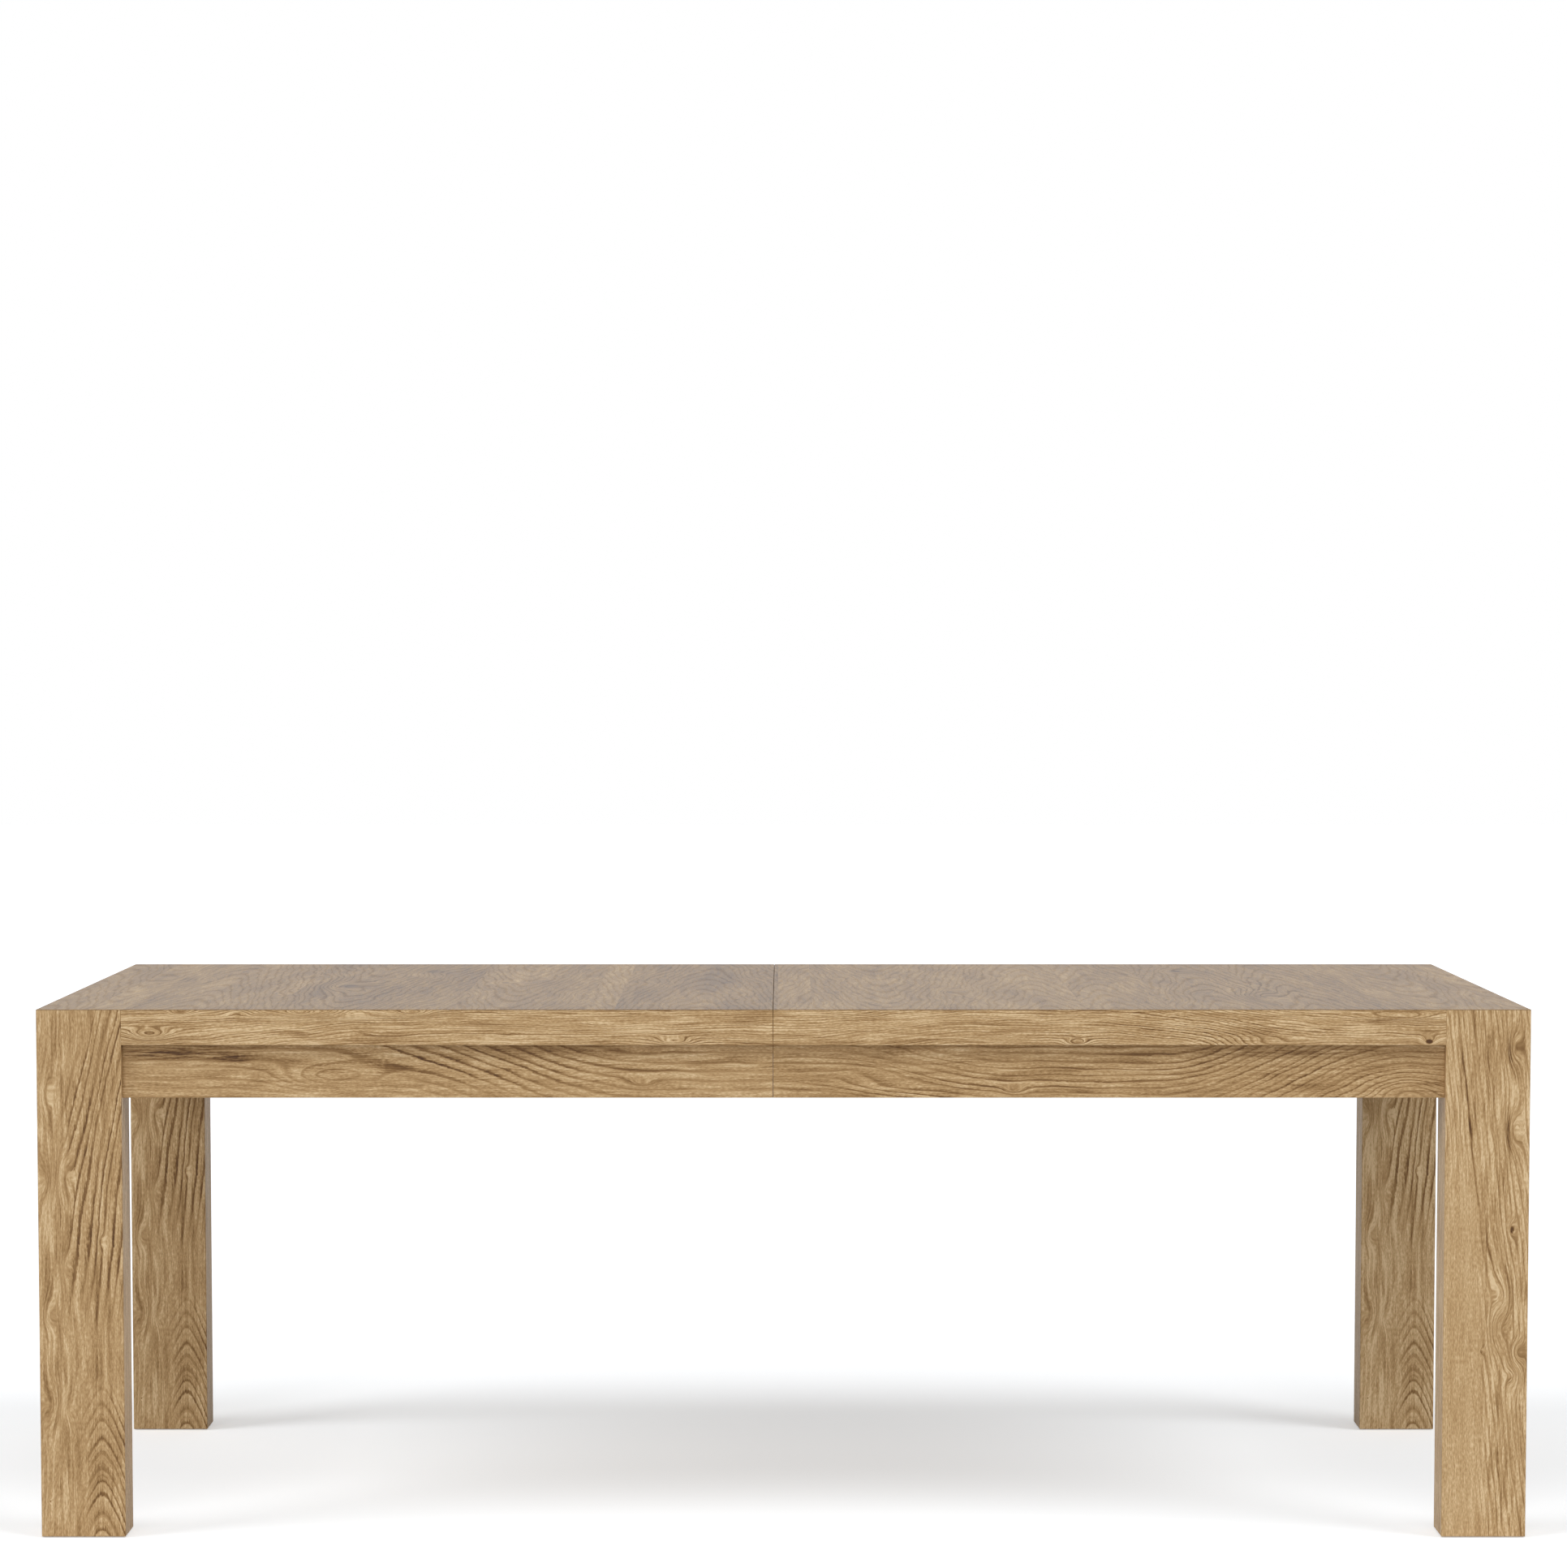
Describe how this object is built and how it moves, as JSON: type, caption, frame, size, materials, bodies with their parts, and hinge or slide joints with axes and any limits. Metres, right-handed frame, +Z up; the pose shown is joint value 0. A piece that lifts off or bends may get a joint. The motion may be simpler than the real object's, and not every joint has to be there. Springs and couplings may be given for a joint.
{
  "type": "extendable dining table",
  "caption": "Oak block-leg dining table in two halves that slide apart on geared equaliser slides, with a stored leaf, swing latches and levelling feet.",
  "frame": {"origin": "on the floor under the middle of the closed table", "axes": "+X to the right along the table, +Y to the back, +Z up"},
  "size_m": [2.134, 1.016, 0.762],
  "materials": {
    "oak_top": "satin oak veneer",
    "oak_face": "satin oak veneer",
    "slide_wood": "waxed beech",
    "frame_wood": "plain pine",
    "zinc_steel": "zinc plated",
    "nylon": "moulded nylon",
    "brass": "turned"
  },
  "bodies": {
    "left_half": {"left_top_panel": "oak_top", "left_front_band": "oak_face", "left_back_band": "oak_face", "left_end_band": "oak_face", "left_front_apron": "oak_face", "left_back_apron": "oak_face", "left_end_apron": "oak_face", "left_front_leg": "oak_face", "left_back_leg": "oak_face", "left_corner_braces": "frame_wood", "left_leg_bolts": "zinc_steel", "left_leg_nuts": "zinc_steel", "left_front_rail": "slide_wood", "left_back_rail": "slide_wood", "left_gear_racks": "nylon", "left_rail_screws": "zinc_steel", "left_foot_inserts": "brass", "seam_pins": "slide_wood", "latch_plates": "zinc_steel", "latch_screws": "zinc_steel", "front_leaf_runner": "frame_wood", "back_leaf_runner": "frame_wood", "runner_screws": "zinc_steel"},
    "right_half": {"right_top_panel": "oak_top", "right_front_band": "oak_face", "right_back_band": "oak_face", "right_end_band": "oak_face", "right_front_apron": "oak_face", "right_back_apron": "oak_face", "right_end_apron": "oak_face", "right_front_leg": "oak_face", "right_back_leg": "oak_face", "right_corner_braces": "frame_wood", "right_leg_bolts": "zinc_steel", "right_leg_nuts": "zinc_steel", "right_front_rail": "slide_wood", "right_back_rail": "slide_wood", "right_gear_racks": "nylon", "right_rail_screws": "zinc_steel", "right_foot_inserts": "brass", "seam_sleeves": "brass", "latch_keepers": "zinc_steel", "keeper_screws": "zinc_steel"},
    "front_carriage": {"front_centre_rail": "slide_wood", "front_pinion_axle": "zinc_steel"},
    "front_gear": {"front_pinion": "nylon"},
    "front_latch": {"front_latch_arm": "zinc_steel"},
    "back_carriage": {"back_centre_rail": "slide_wood", "back_pinion_axle": "zinc_steel"},
    "back_gear": {"back_pinion": "nylon"},
    "back_latch": {"back_latch_arm": "zinc_steel"},
    "leaf": {"leaf_panel": "oak_top", "leaf_front_band": "oak_face", "leaf_back_band": "oak_face", "leaf_pins": "slide_wood", "leaf_sleeves": "brass"},
    "left_front_glide": {"left_front_foot": "nylon"},
    "left_back_glide": {"left_back_foot": "nylon"},
    "right_front_glide": {"right_front_foot": "nylon"},
    "right_back_glide": {"right_back_foot": "nylon"}
  },
  "joints": [
    {"name": "table_opening", "type": "slide", "parent": "left_half", "child": "right_half", "axis": [1, 0, 0], "range_m": [0, 0.514]},
    {"name": "front_carriage_slide", "type": "slide", "parent": "left_half", "child": "front_carriage", "axis": [1, 0, 0], "range_m": [0, 0.257]},
    {"name": "front_pinion_spin", "type": "hinge", "parent": "front_carriage", "child": "front_gear", "pos_m": [-0.015, -0.3293, 0.712], "axis": [0, 0, 1], "continuous": true},
    {"name": "back_carriage_slide", "type": "slide", "parent": "left_half", "child": "back_carriage", "axis": [1, 0, 0], "range_m": [0, 0.257]},
    {"name": "back_pinion_spin", "type": "hinge", "parent": "back_carriage", "child": "back_gear", "pos_m": [-0.015, 0.3293, 0.712], "axis": [0, 0, 1], "continuous": true},
    {"name": "front_latch_swing", "type": "hinge", "parent": "left_half", "child": "front_latch", "pos_m": [-0.031, -0.45, 0.7313], "axis": [0, 0, -1], "range_deg": [0, 45]},
    {"name": "back_latch_swing", "type": "hinge", "parent": "left_half", "child": "back_latch", "pos_m": [-0.031, 0.45, 0.7313], "axis": [0, 0, 1], "range_deg": [0, 45]},
    {"name": "leaf_slide", "type": "slide", "parent": "left_half", "child": "leaf", "axis": [1, 0, 0], "range_m": [0, 0.4]},
    {"name": "left_front_levelling", "type": "slide", "parent": "left_half", "child": "left_front_glide", "axis": [0, 0, -1], "range_m": [0, 0.01]},
    {"name": "left_back_levelling", "type": "slide", "parent": "left_half", "child": "left_back_glide", "axis": [0, 0, -1], "range_m": [0, 0.01]},
    {"name": "right_front_levelling", "type": "slide", "parent": "right_half", "child": "right_front_glide", "axis": [0, 0, -1], "range_m": [0, 0.01]},
    {"name": "right_back_levelling", "type": "slide", "parent": "right_half", "child": "right_back_glide", "axis": [0, 0, -1], "range_m": [0, 0.01]}
  ],
  "couplings": [
    {"joint": "front_carriage_slide", "follows": "table_opening", "ratio": 0.5},
    {"joint": "front_pinion_spin", "follows": "table_opening", "rad_per_m": -27.778},
    {"joint": "back_carriage_slide", "follows": "table_opening", "ratio": 0.5},
    {"joint": "back_pinion_spin", "follows": "table_opening", "rad_per_m": 27.778}
  ]
}
